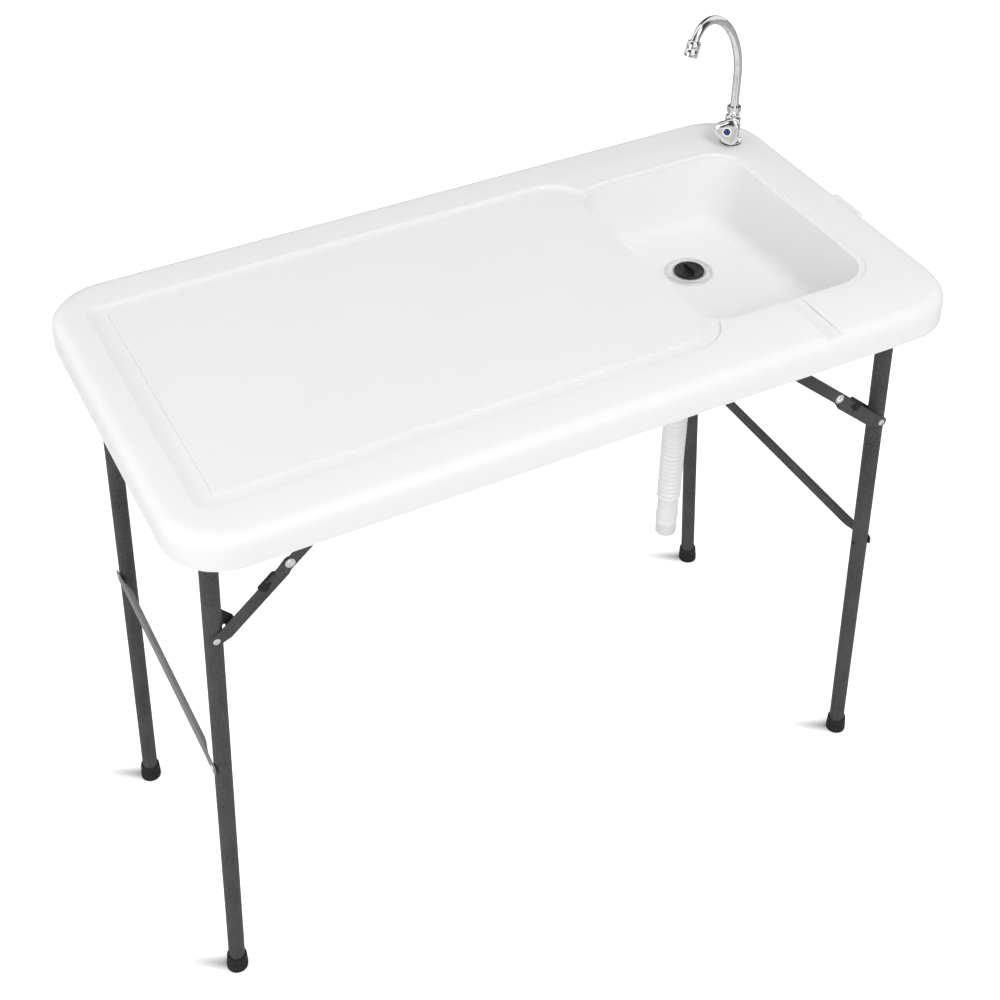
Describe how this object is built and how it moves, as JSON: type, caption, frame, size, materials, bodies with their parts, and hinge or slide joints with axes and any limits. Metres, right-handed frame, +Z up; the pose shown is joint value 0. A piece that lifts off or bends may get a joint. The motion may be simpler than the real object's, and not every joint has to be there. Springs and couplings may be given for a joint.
{
  "type": "camping sink stand",
  "caption": "folding outdoor worktop with a moulded sink, gutter and cutting panel, a swan neck tap, a drain hose and two splayed leg sets with locking braces",
  "frame": {"origin": "on the ground, centred under the whole footprint without the hanging hose", "axes": "+X to the sink end, +Y to the back where the tap is, +Z up"},
  "size_m": [1.162, 0.597, 1.1775],
  "materials": {
    "white_moulding": "white moulded polyethylene, fine texture",
    "hose_plastic": "white bellows hose",
    "bare_metal": "zinc plated or bare steel",
    "chrome_trim": "polished chrome plate",
    "black_rubber": "black rubber",
    "black_plastic": "black moulded plastic",
    "blue_plastic": "blue dot with a white ring",
    "grey_coat": "dark grey powder coat with a fine texture"
  },
  "bodies": {
    "worktop": {"tabletop": "white_moulding", "drain_flange": "bare_metal", "drain_gasket": "black_rubber", "drain_locknut": "white_moulding", "hose_spigot": "white_moulding", "hose_clamp": "bare_metal", "drain_hose": "hose_plastic", "hose_cuff": "hose_plastic", "tap_gasket": "black_rubber", "tap_body": "chrome_trim", "valve_bonnet": "chrome_trim", "tap_locknut": "bare_metal", "inlet_adaptor": "bare_metal", "spout_nut": "chrome_trim", "left_front_pivot_bracket": "grey_coat", "left_front_brace_bracket": "grey_coat", "left_front_pivot_pin": "bare_metal", "left_back_pivot_bracket": "grey_coat", "left_back_brace_bracket": "grey_coat", "left_back_pivot_pin": "bare_metal", "right_front_pivot_bracket": "grey_coat", "right_front_brace_bracket": "grey_coat", "right_front_pivot_pin": "bare_metal", "right_back_pivot_bracket": "grey_coat", "right_back_brace_bracket": "grey_coat", "right_back_pivot_pin": "bare_metal"},
    "left_legs": {"left_crossbar": "grey_coat", "left_front_leg": "grey_coat", "left_front_foot": "black_rubber", "left_front_leg_rivet": "bare_metal", "left_back_leg": "grey_coat", "left_back_foot": "black_rubber", "left_back_leg_rivet": "bare_metal"},
    "left_lower_links": {"left_front_lower_link": "grey_coat", "left_back_lower_link": "grey_coat"},
    "left_upper_links": {"left_front_upper_link": "grey_coat", "left_back_upper_link": "grey_coat"},
    "left_catches": {"left_front_catch": "black_plastic", "left_back_catch": "black_plastic"},
    "right_legs": {"right_crossbar": "grey_coat", "right_front_leg": "grey_coat", "right_front_foot": "black_rubber", "right_front_leg_rivet": "bare_metal", "right_back_leg": "grey_coat", "right_back_foot": "black_rubber", "right_back_leg_rivet": "bare_metal"},
    "right_lower_links": {"right_front_lower_link": "grey_coat", "right_back_lower_link": "grey_coat"},
    "right_upper_links": {"right_front_upper_link": "grey_coat", "right_back_upper_link": "grey_coat"},
    "right_catches": {"right_front_catch": "black_plastic", "right_back_catch": "black_plastic"},
    "spout": {"spout_tube": "chrome_trim", "spout_nozzle": "chrome_trim"},
    "knob": {"tap_knob": "chrome_trim", "knob_index": "blue_plastic", "valve_spindle": "bare_metal"},
    "stopper": {"drain_stopper": "black_plastic"}
  },
  "joints": [
    {"name": "left_leg_fold", "type": "hinge", "parent": "worktop", "child": "left_legs", "pos_m": [-0.50398, 0, 0.911], "axis": [0, -1, 0], "range_deg": [0, 93.8]},
    {"name": "left_lower_link_fold", "type": "hinge", "parent": "left_legs", "child": "left_lower_links", "pos_m": [-0.51706, 0, 0.714], "axis": [0, -1, 0], "range_deg": [0, 45.2]},
    {"name": "left_upper_link_fold", "type": "hinge", "parent": "worktop", "child": "left_upper_links", "pos_m": [-0.29054, 0, 0.911], "axis": [0, -1, 0], "range_deg": [-41.02, 0]},
    {"name": "left_catch_release", "type": "hinge", "parent": "left_lower_links", "child": "left_catches", "pos_m": [-0.4453, 0, 0.77641], "axis": [0, -1, 0], "range_deg": [0, 20]},
    {"name": "right_leg_fold", "type": "hinge", "parent": "worktop", "child": "right_legs", "pos_m": [0.48702, 0, 0.882], "axis": [0, 1, 0], "range_deg": [0, 93.8], "deforming": ["drain_hose"]},
    {"name": "right_lower_link_fold", "type": "hinge", "parent": "right_legs", "child": "right_lower_links", "pos_m": [0.49791, 0, 0.718], "axis": [0, 1, 0], "range_deg": [0, 45.3]},
    {"name": "right_upper_link_fold", "type": "hinge", "parent": "worktop", "child": "right_upper_links", "pos_m": [0.30866, 0, 0.882], "axis": [0, 1, 0], "range_deg": [-40.92, 0]},
    {"name": "right_catch_release", "type": "hinge", "parent": "right_lower_links", "child": "right_catches", "pos_m": [0.4441, 0, 0.76464], "axis": [0, 1, 0], "range_deg": [0, 20]},
    {"name": "spout_swivel", "type": "hinge", "parent": "worktop", "child": "spout", "pos_m": [0.52102, 0.212, 0.99], "axis": [0, 0, 1], "range_deg": [-180, 180]},
    {"name": "tap_turn", "type": "hinge", "parent": "worktop", "child": "knob", "pos_m": [0.52102, 0.212, 0.965], "axis": [-0.7544, -0.633, 0.1736], "range_deg": [0, 90]},
    {"name": "stopper_lift", "type": "slide", "parent": "worktop", "child": "stopper", "axis": [0, 0, 1], "range_m": [0, 0.03]}
  ],
  "couplings": [
    {"joint": "left_lower_link_fold", "follows": "left_leg_fold", "ratio": 0.48174},
    {"joint": "left_upper_link_fold", "follows": "left_leg_fold", "ratio": -0.43724},
    {"joint": "right_lower_link_fold", "follows": "right_leg_fold", "ratio": 0.48283},
    {"joint": "right_upper_link_fold", "follows": "right_leg_fold", "ratio": -0.43615}
  ]
}
